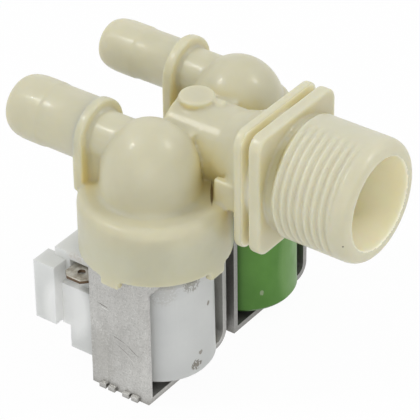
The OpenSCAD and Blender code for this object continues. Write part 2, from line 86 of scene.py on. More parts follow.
def add(piece, part, placement=Matrix()):
    """Puts one finished shape into a piece."""
    bmesh.ops.remove_doubles(part, verts=part.verts, dist=1e-4)
    bmesh.ops.recalc_face_normals(part, faces=part.faces)
    part.transform(placement)
    mesh = bpy.data.meshes.new("shape")
    part.to_mesh(mesh)
    part.free()
    piece.from_mesh(mesh)
    bpy.data.meshes.remove(mesh)


def lathe(piece, outline, placement=Matrix(), steps=96, closed=False):
    """Spins an (r, h) outline about the local Z axis."""
    part = bmesh.new()
    verts = [part.verts.new((r, 0, h)) for r, h in outline]
    pairs = list(zip(verts, verts[1:]))
    if closed:
        pairs.append((verts[-1], verts[0]))
    edges = [part.edges.new(pair) for pair in pairs]
    bmesh.ops.spin(
        part, geom=verts + edges, cent=(0, 0, 0), axis=(0, 0, 1), dvec=(0, 0, 0),
        angle=math.tau, steps=steps, use_merge=True, use_duplicate=False,
    )
    add(piece, part, placement)


def block(piece, low, high, edge=0.0, segments=3, placement=Matrix()):
    """Box between two corners, with rounded edges."""
    part = bmesh.new()
    bmesh.ops.create_cube(part, size=1)
    low, high = Vector(low), Vector(high)
    bmesh.ops.scale(part, vec=high - low, verts=part.verts)
    bmesh.ops.translate(part, vec=(low + high) / 2, verts=part.verts)
    if edge:
        bmesh.ops.bevel(
            part, geom=part.edges[:], offset=edge, offset_type="OFFSET", affect="EDGES",
            segments=segments, profile=0.5, material=-1,
        )
    add(piece, part, placement)


def copy_of(node, edge, segments=2, angle=30):
    """Shape of a CAD solid, in millimetres, with its sharp edges rounded."""
    part = bmesh.new()
    part.from_mesh(frame["nodes"][node].data)
    part.transform(TO_FRAME.inverted())
    bmesh.ops.remove_doubles(part, verts=part.verts, dist=1e-4)
    bmesh.ops.dissolve_limit(
        part, angle_limit=math.radians(1), use_dissolve_boundaries=False,
        verts=part.verts, edges=part.edges,
    )
    sharp = [e for e in part.edges if e.is_manifold and e.calc_face_angle(0) > math.radians(angle)]
    bmesh.ops.bevel(
        part, geom=sharp, offset=edge, offset_type="OFFSET", affect="EDGES",
        segments=segments, profile=0.5, material=-1, clamp_overlap=True,
    )
    return part


def fuse(obj, voxel, rounds):
    """Joins the overlapping shapes of a piece into one skin, with soft corners between them."""
    remesh = obj.modifiers.new("Fuse", "REMESH")
    remesh.mode = "VOXEL"
    remesh.voxel_size = voxel
    smooth = obj.modifiers.new("Soften", "SMOOTH")
    smooth.factor = 0.5
    smooth.iterations = rounds
    graph = bpy.context.evaluated_depsgraph_get()
    mesh = bpy.data.meshes.new_from_object(obj.evaluated_get(graph))
    obj.modifiers.clear()
    obj.data = mesh


def piece_object(name, piece, material, body=BODY, smooth_angle=35):
    """Turns a shape into an object of the frame that rides on a body."""
    piece.transform(TO_FRAME)
    mesh = bpy.data.meshes.new(name)
    piece.to_mesh(mesh)
    piece.free()
    obj = bpy.data.objects.new(name, mesh)
    bpy.context.scene.collection.objects.link(obj)
    mesh.materials.append(material)
    shade(obj, smooth_angle)
    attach(obj, body)
    return obj


def shade(obj, angle):
    """Smooth shading, with the edges over an angle kept sharp."""
    mesh = obj.data
    mesh.polygons.foreach_set("use_smooth", [True] * len(mesh.polygons))
    mesh.set_sharp_from_angle(angle=math.radians(angle))


def new_material(name, roughness, metallic=0.0, **sockets):
    """Material with a Principled shader, its node tree and the shader."""
    material = bpy.data.materials.new(name)
    material.use_nodes = True
    shader = material.node_tree.nodes["Principled BSDF"]
    shader.inputs["Roughness"].default_value = roughness
    shader.inputs["Metallic"].default_value = metallic
    for socket, value in sockets.items():
        shader.inputs[socket.replace("_", " ")].default_value = value
    return material, material.node_tree, shader


def pattern(tree, kind, scale, stretch=(1, 1, 1), turn=(0, 0, 0), **values):
    """Texture node on Object coordinates."""
    place = tree.nodes.new("ShaderNodeTexCoord")
    mapping = tree.nodes.new("ShaderNodeMapping")
    mapping.inputs["Scale"].default_value = stretch
    mapping.inputs["Rotation"].default_value = turn
    texture = tree.nodes.new(kind)
    texture.inputs["Scale"].default_value = scale
    for socket, value in values.items():
        texture.inputs[socket].default_value = value
    tree.links.new(place.outputs["Object"], mapping.inputs["Vector"])
    tree.links.new(mapping.outputs["Vector"], texture.inputs["Vector"])
    return texture


def ramp(tree, source, *stops):
    """Colour ramp over (position, colour) stops."""
    node = tree.nodes.new("ShaderNodeValToRGB")
    elements = node.color_ramp.elements
    while len(elements) < len(stops):
        elements.new(0.5)
    for element, (position, colour) in zip(elements, stops):
        element.position = position
        element.color = (*colour, 1) if len(colour) == 3 else (colour[0],) * 3 + (1,)
    tree.links.new(source, node.inputs["Fac"])
    return node.outputs["Color"]


def mix(tree, factor, first, second, blend="MIX"):
    """Mix of two colours; each input is a socket or a value."""
    node = tree.nodes.new("ShaderNodeMix")
    node.data_type = "RGBA"
    node.blend_type = blend
    for socket, value in ((node.inputs["Factor"], factor), (node.inputs[6], first), (node.inputs[7], second)):
        if isinstance(value, bpy.types.NodeSocket):
            tree.links.new(value, socket)
        else:
            socket.default_value = (*value, 1) if isinstance(value, tuple) else value
    return node.outputs[2]


def relief(tree, shader, height, strength, distance):
    """Bump on the shader's normal."""
    bump = tree.nodes.new("ShaderNodeBump")
    bump.inputs["Strength"].default_value = strength
    bump.inputs["Distance"].default_value = distance
    tree.links.new(height, bump.inputs["Height"])
    tree.links.new(bump.outputs["Normal"], shader.inputs["Normal"])


def painted_corner_shade(tree, distance, dark, light):
    """Factor that rises in corners and gaps, where shade is painted."""
    node = tree.nodes.new("ShaderNodeAmbientOcclusion")
    node.samples = 8
    node.inputs["Distance"].default_value = distance
    return ramp(tree, node.outputs["AO"], (dark, (1,)), (light, (0,)))


def mark(tree, base, point, radii, colour, strength=1.0, turn=(0, 0, 0), ragged=0.6):
    """Patch of dirt, wear, a scratch, painted shade or painted light about a point of the valve, in millimetres,
    turned by degrees.
    """
    place = tree.nodes.new("ShaderNodeTexCoord")
    mapping = tree.nodes.new("ShaderNodeMapping")
    mapping.vector_type = "TEXTURE"
    mapping.inputs["Location"].default_value = TO_FRAME @ Vector(point)
    mapping.inputs["Rotation"].default_value = [math.radians(a) for a in turn]
    mapping.inputs["Scale"].default_value = Vector(radii) * 0.001
    spot = tree.nodes.new("ShaderNodeTexGradient")
    spot.gradient_type = "SPHERICAL"
    tree.links.new(place.outputs["Object"], mapping.inputs["Vector"])
    tree.links.new(mapping.outputs["Vector"], spot.inputs["Vector"])
    edge = pattern(tree, "ShaderNodeTexNoise", 2000, Detail=3)
    total = tree.nodes.new("ShaderNodeMath")
    total.operation = "MULTIPLY_ADD"
    total.inputs[1].default_value = ragged
    tree.links.new(edge.outputs["Fac"], total.inputs[0])
    tree.links.new(spot.outputs["Fac"], total.inputs[2])
    level = tree.nodes.new("ShaderNodeMath")
    level.operation = "SUBTRACT"
    level.inputs[1].default_value = ragged / 2
    tree.links.new(total.outputs[0], level.inputs[0])
    inside = ramp(tree, spot.outputs["Fac"], (0, (0,)), (0.25, (1,)))
    patch = mix(tree, 1.0, inside, ramp(tree, level.outputs[0], (0.12, (0,)), (0.42, (strength,))), "MULTIPLY")
    return mix(tree, patch, base, colour)


def moulded(name, colour, shade_colour, corner_shade_colour, roughness=0.34, corner_shade_reach=0.007, marks=(), **sockets):
    """Satin injection moulding: cloudy colour, painted shade in the corners, marks of dirt, painted shade and
    painted light, a fine orange-peel skin.
    """
    material, tree, shader = new_material(name, roughness, **sockets)
    clouds = pattern(tree, "ShaderNodeTexNoise", 90, Detail=3, Roughness=0.55)
    base = mix(tree, ramp(tree, clouds.outputs["Fac"], (0.35, (0,)), (0.7, (1,))), colour, shade_colour)
    specks = pattern(tree, "ShaderNodeTexNoise", 1500, Detail=2)
    base = mix(tree, ramp(tree, specks.outputs["Fac"], (0.66, (0,)), (0.8, (0.25,))), base, shade_colour)
    # Painted shade: corners and gaps take the corner colour, on the ivory a warm olive for shade lit through the
    # translucent wall.
    base = mix(tree, painted_corner_shade(tree, corner_shade_reach, 0.15, 0.8), base, corner_shade_colour)
    for values in marks:
        base = mark(tree, base, *values)
    tree.links.new(base, shader.inputs["Base Color"])
    peel = pattern(tree, "ShaderNodeTexNoise", 700, Detail=2, Roughness=0.5)
    relief(tree, shader, peel.outputs["Fac"], 0.12, 0.0002)
    gloss = pattern(tree, "ShaderNodeTexNoise", 260, Detail=4)
    tree.links.new(
        ramp(tree, gloss.outputs["Fac"], (0.3, (roughness - 0.06,)), (0.75, (roughness + 0.08,))),
        shader.inputs["Roughness"],
    )
    return material


STEEL_WEAR_AND_PAINTED_SHADE = (
    ((9, -2.4, 14), (9, 2.2, 17), (0.52, 0.515, 0.49), 0.6, (0, 0, 0), 0.2),
    ((-3.9, -28.8, 21.0), (1.8, 1, 0.17), (0.20, 0.19, 0.17), 0.9, (0, 11, 0), 0.3),
    ((-3.4, -28.8, 20.3), (1.3, 1, 0.14), (0.85, 0.85, 0.82), 0.7, (0, 11, 0), 0.3),
    ((0, -28.8, 13.9), (2.4, 1, 0.13), (0.18, 0.17, 0.16), 0.9, (0, 14, 0), 0.3),
    ((3.4, -28.8, 12.4), (2.2, 1, 0.13), (0.18, 0.17, 0.16), 0.9, (0, 33, 0), 0.3),
    ((1.0, -28.8, 11.6), (3.2, 1, 0.12), (0.20, 0.19, 0.18), 0.8, (0, 26, 0), 0.3),
    ((2.6, -28.8, 10.2), (2.2, 1, 0.12), (0.82, 0.81, 0.78), 0.5, (0, 36, 0), 0.3),
    ((1, -28.8, 13), (7, 1, 6), (0.36, 0.35, 0.33), 0.25, (0, 0, 0), 2.0),
    ((-4.5, -28.8, 8), (4.5, 1, 9), (0.40, 0.39, 0.36), 0.4, (0, 0, 0), 2.0),
    # Painted shade: darkens the whole green yoke, standing for the shade it sits in.
    ((0, 15.1, 14), (60, 24, 80), (0.15, 0.145, 0.135), 0.55, (0, 0, 0), 0.1),
)


def zinc_steel():
    """Zinc-plated strip: mottled plating with a faint rolled grain, specks and scratches, with painted shade in
    its corners and over the green yoke.
    """
    material, tree, shader = new_material("zinc_steel", 0.46, metallic=0.85)
    clouds = pattern(tree, "ShaderNodeTexNoise", 330, Detail=7, Roughness=0.75)
    base = ramp(tree, clouds.outputs["Fac"], (0.3, (0.46, 0.455, 0.435)), (0.7, (0.62, 0.615, 0.59)))
    grain = pattern(tree, "ShaderNodeTexNoise", 420, stretch=(1, 1, 0.12), Detail=3, Roughness=0.6)
    base = mix(tree, ramp(tree, grain.outputs["Fac"], (0.4, (0,)), (0.8, (0.3,))), base, (0.34, 0.33, 0.31))
    specks = pattern(tree, "ShaderNodeTexNoise", 2600, Detail=3, Roughness=0.6)
    base = mix(tree, ramp(tree, specks.outputs["Fac"], (0.54, (0,)), (0.66, (0.4,))), base, (0.27, 0.26, 0.24))
    base = mix(tree, ramp(tree, specks.outputs["Fac"], (0.34, (0.3,)), (0.46, (0,))), base, (0.80, 0.79, 0.76))
    # Painted shade in the corners and gaps of the strip.
    base = mix(tree, painted_corner_shade(tree, 0.004, 0.2, 0.7), base, (0.20, 0.19, 0.17))
    for values in STEEL_WEAR_AND_PAINTED_SHADE:
        base = mark(tree, base, *values)
    tree.links.new(base, shader.inputs["Base Color"])
    relief(tree, shader, specks.outputs["Fac"], 0.25, 0.0001)
    tree.links.new(
        ramp(tree, clouds.outputs["Fac"], (0.3, (0.40,)), (0.7, (0.54,))), shader.inputs["Roughness"]
    )
    return material


def turned_steel():
    """Ground steel of the sleeves, plungers and springs: fine rings of tool marks."""
    material, tree, shader = new_material("turned_steel", 0.3, metallic=1.0)
    marks = pattern(tree, "ShaderNodeTexNoise", 300, stretch=(0.2, 0.2, 6), Detail=3)
    base = ramp(tree, marks.outputs["Fac"], (0.3, (0.46, 0.47, 0.48)), (0.7, (0.66, 0.67, 0.68)))
    tree.links.new(base, shader.inputs["Base Color"])
    relief(tree, shader, marks.outputs["Fac"], 0.15, 0.0001)
    return material


def tinned_brass():
    """Contact blade: pale plate on its flat sides, brown tarnish on the cut edges."""
    material, tree, shader = new_material("tinned_brass", 0.45, metallic=0.7)
    tarnish = pattern(tree, "ShaderNodeTexNoise", 500, Detail=5, Roughness=0.7)
    plate = ramp(tree, tarnish.outputs["Fac"], (0.32, (0.30, 0.25, 0.19)), (0.6, (0.66, 0.64, 0.58)))
    place = tree.nodes.new("ShaderNodeTexCoord")
    axes = tree.nodes.new("ShaderNodeSeparateXYZ")
    tree.links.new(place.outputs["Normal"], axes.inputs[0])
    base = mix(tree, ramp(tree, axes.outputs["Z"], (0.3, (1,)), (0.8, (0,))), plate, (0.13, 0.085, 0.05))
    tree.links.new(base, shader.inputs["Base Color"])
    relief(tree, shader, tarnish.outputs["Fac"], 0.2, 0.0001)
    return material


def enamelled_copper():
    """Copper winding: turns of fine wire as ridges along Z."""
    material, tree, shader = new_material("enamelled_copper", 0.3, metallic=0.9)
    turns = pattern(tree, "ShaderNodeTexWave", 900, Distortion=0.3)
    turns.bands_direction = "Z"
    base = ramp(tree, turns.outputs["Fac"], (0.1, (0.22, 0.07, 0.025)), (0.7, (0.62, 0.25, 0.09)))
    tree.links.new(base, shader.inputs["Base Color"])
    relief(tree, shader, turns.outputs["Fac"], 0.6, 0.0002)
    return material


def rubber():
    """Matt black rubber with a bloom."""
    material, tree, shader = new_material("black_rubber", 0.75)
    bloom = pattern(tree, "ShaderNodeTexNoise", 320, Detail=4)
    base = ramp(tree, bloom.outputs["Fac"], (0.3, (0.018, 0.018, 0.017)), (0.75, (0.05, 0.05, 0.047)))
    tree.links.new(base, shader.inputs["Base Color"])
    relief(tree, shader, bloom.outputs["Fac"], 0.2, 0.0002)
    return material


WAXY = {
    "Subsurface_Weight": 0.8, "Subsurface_Radius": (1.0, 0.85, 0.5), "Subsurface_Scale": 0.004,
    "Coat_Weight": 0.15, "Coat_Roughness": 0.08,
}
CLOUDY = {"Subsurface_Weight": 0.5, "Subsurface_Radius": (1.0, 1.0, 0.96), "Subsurface_Scale": 0.003}
IVORY_PAINTED_SHADE_AND_DIRT = (
    # Painted shade in the recess between the front dome, the ring and the flange.
    ((8.5, -9.5, 46.5), (8, 8, 8.5), (0.46, 0.42, 0.19), 0.1, (0, 0, 0), 0.1),
    # Painted shadow of the gap between the rib and the ring, with brown dirt in it.
    ((10.4, -10.2, 44.0), (5.4, 0.42, 2.0), (0.12, 0.065, 0.02), 0.9, (0, 0, -54), 0.3),
    # Painted shade in the inside corner between the rib and the flange.
    ((13, -9.3, 43.7), (2.4, 2.4, 2.0), (0.36, 0.24, 0.09), 0.5, (0, 0, 0), 0.5),
    # Painted shade on the collar face in the recess beside the dome.
    ((-13.2, -15.1, 47), (2.4, 9, 9), (0.40, 0.37, 0.17), 0.3, (0, 0, 0), 0.1),
)
INLET_SPECKS_AND_PAINTED_SHADOW = (
    ((43.4, -12.2, 45), (0.4, 0.4, 0.4), (0.07, 0.05, 0.03), 1.0, (0, 0, 0), 0.3),
    # Painted shadow: olive band on the neck beside the front flange.
    ((25.3, -10.5, 54), (1.9, 8, 9), (0.50, 0.44, 0.20), 0.5, (0, 0, 0), 0.1),
    ((37.0, -8.3, 59.0), (0.5, 0.5, 0.5), (0.40, 0.36, 0.26), 0.5, (0, 0, 0), 0.3),
)
WHITE_DIRT_AND_PAINTED_LIGHT = (
    ((11.5, -17.6, 5.6), (1.7, 1.7, 1.5), (0.16, 0.13, 0.09), 0.8, (0, 0, 0), 4.0),
    ((11.6, -13.3, 18.8), (0.7, 0.7, 1.0), (0.22, 0.19, 0.15), 0.9, (0, 0, 0), 1.2),
    ((11.2, -18.2, 26.6), (2.6, 2.6, 2.6), (0.28, 0.26, 0.22), 0.7, (0, 0, 0), 4.5),
    ((11.7, -16.4, 8.1), (0.7, 0.7, 0.7), (0.26, 0.23, 0.18), 0.8, (0, 0, 0), 1.5),
    ((8.0, -24.0, 26.0), (4.0, 4.0, 4.0), (0.45, 0.43, 0.38), 0.3, (0, 0, 0), 5),
    ((-14.0, -26.8, 26.5), (4.5, 3.5, 2.0), (0.42, 0.35, 0.26), 0.4, (0, 0, 0), 0.8),
    # Painted light: lifts the side of the connector block out of its shade.
    ((-14.7, -27.5, 14.4), (7, 7, 11), (0.86, 0.86, 0.84), 0.8, (0, 0, 0), 0.1),
)
GREEN_SPECK_AND_PAINTED_LIGHT = (
    ((9.6, 8.5, 7.5), (0.6, 0.6, 0.9), (0.30, 0.36, 0.22), 0.8, (0, 0, 0), 1.2),
    # Painted light: a lighter patch on the +X side of the green coil.
    ((11.6, 16.5, 12.0), (4, 5.5, 14), (0.20, 0.36, 0.11), 0.4, (0, 0, 0), 0.2),
)

FINISHES = {}


def finish(name):
    """The finish of that name, made once."""
    values = bpy.context.scene.inlet_valve
    makers = {
        # Painted light: the inlet's copy of the one ivory nylon is lighter than the body's, for highlights and
        # light through the thin spigot.
        "ivory": lambda: moulded(
            "ivory_nylon", tuple(values.body_colour), (0.55, 0.52, 0.37), (0.70, 0.60, 0.28), 0.43, 0.009,
            IVORY_PAINTED_SHADE_AND_DIRT, **WAXY,
        ),
        "inlet": lambda: moulded(
            "ivory_inlet_painted_lighter", tuple(values.inlet_colour_painted_lighter), (0.585, 0.56, 0.415), (0.66, 0.58, 0.31),
            0.43, 0.009, INLET_SPECKS_AND_PAINTED_SHADOW, **WAXY,
        ),
        # Painted light: lighter copies of the same ivory inside the mouth, for glow through the wall, and in the
        # slot between the flanges, lifting its shade.
        "bore": lambda: moulded(
            "ivory_bore_painted_glow", (0.92, 0.87, 0.69), (0.89, 0.83, 0.63), (0.92, 0.86, 0.64), 0.5, 0.009, **WAXY
        ),
        "slot": lambda: moulded(
            "ivory_slot_painted_light", (0.78, 0.755, 0.63), (0.74, 0.71, 0.575), (0.76, 0.70, 0.48), 0.5, 0.009, **WAXY
        ),
        "white": lambda: moulded(
            "white_moulding", tuple(values.white_colour), (0.63, 0.635, 0.62), (0.62, 0.62, 0.585), 0.42,
            0.005, WHITE_DIRT_AND_PAINTED_LIGHT, **CLOUDY,
        ),
        "green": lambda: moulded(
            "green_moulding", tuple(values.green_colour), (0.065, 0.19, 0.02), (0.025, 0.08, 0.01), 0.42,
            0.005, GREEN_SPECK_AND_PAINTED_LIGHT, Specular_IOR_Level=0.4,
        ),
        "clear": lambda: moulded("natural_moulding", (0.72, 0.70, 0.62), (0.64, 0.62, 0.54), (0.4, 0.36, 0.26)),
        "grey": lambda: moulded("grey_moulding", (0.42, 0.46, 0.47), (0.36, 0.40, 0.41), (0.2, 0.2, 0.2), 0.5),
        "steel": zinc_steel,
        "turned": turned_steel,
        "brass": tinned_brass,
        "copper": enamelled_copper,
        "rubber": rubber,
    }
    if name not in FINISHES:
        FINISHES[name] = makers[name]()
    return FINISHES[name]


NODE_FINISH = {
    "inlet_strainer": "grey",
    "flow_washer": "rubber",
    "flow_washer_holder": "clear",
    "guide_tube": "clear",
    "diaphragm": "rubber",
    "pilot_insert": "clear",
    "plunger": "turned",
    "plunger_tip": "rubber",
    "plunger_spring": "turned",
    "upper_sleeve": "turned",
    "lower_sleeve": "turned",
    "bobbin": "clear",
    "winding": "copper",
}


class ValveValues(bpy.types.PropertyGroup):
    body_colour: bpy.props.FloatVectorProperty(
        name="Body colour", description="Ivory nylon of the valve body",
        subtype="COLOR", size=3, min=0, max=1, default=(0.60, 0.57, 0.415),
    )
    # Painted light: a lighter copy of the body's nylon colour, for highlights and light through the thin spigot.
    inlet_colour_painted_lighter: bpy.props.FloatVectorProperty(
        name="Inlet colour", description="Ivory nylon of the flanges and the threaded spigot",
        subtype="COLOR", size=3, min=0, max=1, default=(0.625, 0.60, 0.455),
    )
    white_colour: bpy.props.FloatVectorProperty(
        name="White coil colour", description="Plastic of the white coil cover",
        subtype="COLOR", size=3, min=0, max=1, default=(0.68, 0.685, 0.665),
    )
    green_colour: bpy.props.FloatVectorProperty(
        name="Green coil colour", description="Plastic of the green coil cover",
        subtype="COLOR", size=3, min=0, max=1, default=(0.092, 0.245, 0.033),
    )
    thread_pitch: bpy.props.FloatProperty(
        name="Thread pitch", description="Distance between two thread crests",
        unit="LENGTH", default=0.001814, min=0.001, max=0.003, precision=5,
    )
    thread_depth: bpy.props.FloatProperty(
        name="Thread depth", description="Height of the thread crests over the roots",
        unit="LENGTH", default=0.0006, min=0.0002, max=0.0012, precision=5,
    )
    edge_round: bpy.props.FloatProperty(
        name="Flange edge", description="Radius on the edges of the flanges",
        unit="LENGTH", default=0.0005, min=0.0001, max=0.0008, precision=5,
    )


class INLETVALVE_OT_housing(bpy.types.Operator):
    """Rings, domes, manifold, collars and webs of the valve body as one soft-cornered moulding"""

    bl_idname = "inletvalve.housing"
    bl_label = "Valve housing"

    def execute(self, context):
        piece = bmesh.new()
        for valve in VALVES:
            y = AXIS_Y[valve]
            up = Matrix.Translation((0, y, 0))
            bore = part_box(valve + "_guide_tube")[1].y * 1000 - y + 0.1
            roof = max(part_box(valve + kind)[1].z for kind in ("_diaphragm", "_pilot_insert")) * 1000 + 0.3
            lathe(
                piece,
                [(0, roof), (bore, roof), (bore, 30.6), (15.9, 30.6)]
                + arc(13.5, 41.3, 2.4, 2.4, 0, 90) + [(0, 43.7)],
                up,
            )
            lathe(
                piece,
                [(0, 42.7), (11.6, 42.7)] + arc(11.6, 44.8, 1.1, 1.1, 270, 180, 6)
                + arc(0, 47.16, 10.2, 12.04, 0, 90, 16),
                Matrix.Translation((-1, y, 0)),
            )
            if valve == "green":
                foot = Matrix.Translation((1.2, y + 0.8, 0))
                lathe(piece, [(0, 43), (10.9, 43), (10.9, 43.9), (8.6, 50.5), (0, 50.5)], foot)
            back = along((-1, 0, 0), (0, y, OUTLET_Z))
            lathe(piece, [(0, 0), (5.15, 0), (5.15, 14), (0, 14)], back)
            lathe(piece, [(0, 13)] + arc(6.9, 13.4, 0.4, 0.4, -90, 0, 3) + arc(6.9, 15, 0.4, 0.4, 0, 90, 3) + [(0, 15.4)], back)
            block(piece, (-15.4, y - 7.3, 41.7), (-13, y + 7.3, OUTLET_Z), 0.3, 2)
            block(piece, (-13.4, y - 4.6, 42.7), (-9, y + 4.6, OUTLET_Z), 0.3, 2)
            for turn in (0, 180, -90 if y < 0 else 90):
                block(piece, (14.0, -2.3, 28.5), (15.85, 2.3, 31.5), 0.4, 2, up @ Matrix.Rotation(math.radians(turn), 4, "Z"))
        inlet = along((1, 0, 0), (0, 0, INLET_Z))
        lathe(piece, [(0, -4.6), (8.3, -4.6), (8.3, 9), (9.4, 13), (12.4, 17.9), (0, 17.9)], inlet)
        lathe(piece, [(0, INLET_Z)] + arc(3.3, 57.6, 0.6, 0.7, 0, 90, 4) + [(0, 58.3)], Matrix.Translation((-0.6, 0, 0)))
        block(piece, (3.2, 0.3, 54), (5.4, 2.5, 57.6), 0.4)
        block(piece, (-4.2, -15.1, 42.7), (4.2, 15.1, 54.4), 0.5)
        for side in (-1, 1):
            block(piece, (12.2, side * 11.2 - 0.9, 42.7), (18, side * 11.2 + 0.9, 49), 0.3)
        body = piece_object("housing", piece, finish("ivory"))
        fuse(body, 0.00037, 3)
        shade(body, 180)
        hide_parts("valve_body")
        return {"FINISHED"}


class INLETVALVE_OT_inlet(bpy.types.Operator):
    """Flanges, neck, threaded spigot and mouth of the valve body"""

    bl_idname = "inletvalve.inlet"
    bl_label = "Threaded inlet and flanges"

    def execute(self, context):
        values = context.scene.inlet_valve
        piece = bmesh.new()
        inlet = along((1, 0, 0), (0, 0, INLET_Z))
        for start, end in ((17.9, 19.8), (21.5, 24.3)):
            self.flange(piece, start, end, values.edge_round * 1000)
        root = 13.22 - values.thread_depth * 1000
        lathe(
            piece,
            [(9.65, 17.9), (12, 17.9), (12, 26.3), (root, 26.9), (root, 40.4), (13.14, 40.9)]
            + arc(11.45, 41.1, 1.75, 2.85, 3, 82, 10)
            + arc(11.2, 43.8, 0.4, 0.3, 30, 90, 3) + arc(10.2, 43.8, 0.3, 0.3, 90, 180, 3)
            + [(9.9, 30), (9.65, 30)],
            inlet, 128, closed=True,
        )
        self.thread(piece, inlet, values.thread_pitch * 1000, root)
        spigot = piece_object("threaded_inlet", piece, finish("inlet"))
        fuse(spigot, 0.0003, 2)
        self.run_out(spigot.data, root)
        self.line(spigot.data)
        shade(spigot, 180)
        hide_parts("valve_body")
        return {"FINISHED"}

    def flange(self, piece, start, end, edge):
        """Square plate with rounded corners and a round hole, across the inlet."""
        part = bmesh.new()
        outline = []
        for sy, sz, first in ((1, 1, 0), (-1, 1, 90), (-1, -1, 180), (1, -1, 270)):
            for step in range(9):
                turn = math.radians(first + step * 90 / 8)
                outline.append((start, sy * 10.4 + 3 * math.cos(turn), INLET_Z + sz * 10.9 + 3 * math.sin(turn)))
        loop = [part.verts.new(point) for point in outline]
        outer = [part.edges.new((a, b)) for a, b in zip(loop, loop[1:] + loop[:1])]
        hole = bmesh.ops.create_circle(
            part, segments=36, radius=9.7, cap_ends=False, matrix=along((1, 0, 0), (start, 0, INLET_Z))
        )["verts"]
        inner = list({e for v in hole for e in v.link_edges})
        bmesh.ops.bridge_loops(part, edges=outer + inner)
        made = bmesh.ops.extrude_face_region(part, geom=part.faces[:])
        moved = [v for v in made["geom"] if isinstance(v, bmesh.types.BMVert)]
        bmesh.ops.translate(part, vec=(end - start, 0, 0), verts=moved)
        bmesh.ops.recalc_face_normals(part, faces=part.faces)
        rim = [
            e for e in part.edges
            if e.is_manifold and e.calc_face_angle(0) > 0.9
            and max(abs(v.co.y) + abs(v.co.z - INLET_Z) for v in e.verts) > 14
            and all((v.co.yz - Vector((0, INLET_Z))).length > 12 for v in e.verts)
        ]
        bmesh.ops.bevel(
            part, geom=rim, offset=edge, offset_type="OFFSET", affect="EDGES",
            segments=3, profile=0.5, material=-1,
        )
        add(piece, part)

    def thread(self, piece, inlet, pitch, root):
        """One pitch of the thread outline, wound along the spigot."""
        crest = 13.22
        steps = 96
        turns = 8
        middle = (root + crest) / 2
        shape = [(0, root - 0.02), (0.18, root + 0.03), (0.42, middle), (0.66, crest - 0.05), (0.84, crest),
                 (0.98, crest), (1.15, crest - 0.05), (1.39, middle), (1.63, root + 0.03), (1.814, root - 0.02)]
        part = bmesh.new()
        shape += [(1.814, root - 0.8), (0, root - 0.8)]
        verts = [part.verts.new((r, 0, 25.7 + h * pitch / 1.814)) for h, r in shape]
        edges = [part.edges.new(pair) for pair in zip(verts, verts[1:] + verts[:1])]
        bmesh.ops.spin(
            part, geom=verts + edges, cent=(0, 0, 0), axis=(0, 0, 1), dvec=(0, 0, pitch / steps),
            angle=math.tau * turns, steps=steps * turns, use_merge=False, use_duplicate=False,
        )
        bmesh.ops.holes_fill(part, edges=[e for e in part.edges if e.is_boundary], sides=0)
        add(piece, part, inlet)

    def run_out(self, mesh, root):
        """Lets the thread fade towards the two smooth strips along the spigot."""
        back = TO_FRAME.inverted()
        for vert in mesh.vertices:
            x, y, z = back @ vert.co
            reach = math.hypot(y, z - INLET_Z)
            if not (26.7 < x < 41 and reach > root - 0.4):
                continue
            angle = math.degrees(math.atan2(z - INLET_Z, -y))
            away = abs((angle - 22.5 + 90) % 180 - 90)
            share = min(max((away - 45) / 23, 0), 1)
            grow = 1 + (13.18 - reach) / reach * share * share * (3 - 2 * share)
            vert.co = TO_FRAME @ Vector((x, y * grow, INLET_Z + (z - INLET_Z) * grow))

    def line(self, mesh):
        """Gives the inside of the mouth and the slot between the flanges their lighter colours, which are
        painted light.
        """
        mesh.materials.clear()
        for name in ("inlet", "bore", "slot"):
            mesh.materials.append(finish(name))
        back = TO_FRAME.inverted()
        for face in mesh.polygons:
            x, y, z = back @ face.center
            reach = math.hypot(y, z - INLET_Z)
            if reach < 10.1:
                face.material_index = 1
            elif 19.7 < x < 21.6:
                face.material_index = 2


class INLETVALVE_OT_tails(bpy.types.Operator):
    """Hose tails with their ridges, tapered ends and water bores"""

    bl_idname = "inletvalve.tails"
    bl_label = "Hose tails"

    def execute(self, context):
        piece = bmesh.new()
        for valve, radius, tip in (("white", 6.75, 4.85), ("green", 5.6, 4.5)):
            lathe(
                piece,
                [(3.5, 14.2), (radius + 0.35, 14.2), (radius + 0.35, 15.3), (radius, 15.7), (radius, 24.4)]
                + arc(radius - 0.2, 25.6, 0.4, 0.9, -40, 0, 4) + [(radius + 0.2, 28.6), (radius + 0.18, 30.2)]
                + arc(tip - 0.5, 30.5, radius + 0.6 - tip, 3.8, 8, 75, 9)
                + arc(tip - 0.9, 33.9, 0.7, 0.4, 35, 90, 3) + arc(3.8, 34.0, 0.3, 0.3, 90, 180, 3),
                along((-1, 0, 0), (0, AXIS_Y[valve], OUTLET_Z)), closed=True,
            )
        tails = piece_object("hose_tails", piece, finish("ivory"), smooth_angle=50)
        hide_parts("valve_body")
        return {"FINISHED"}


class INLETVALVE_OT_coils(bpy.types.Operator):
    """Coil covers with their connector blocks"""

    bl_idname = "inletvalve.coils"
    bl_label = "Coil covers"

    def execute(self, context):
        for valve in VALVES:
            piece = bmesh.new()
            add(piece, copy_of(valve + "_coil_cover", 0.22))
            cover = piece_object(valve + "_coil", piece, finish(valve), smooth_angle=40)
            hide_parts(valve + "_coil_cover")
        return {"FINISHED"}


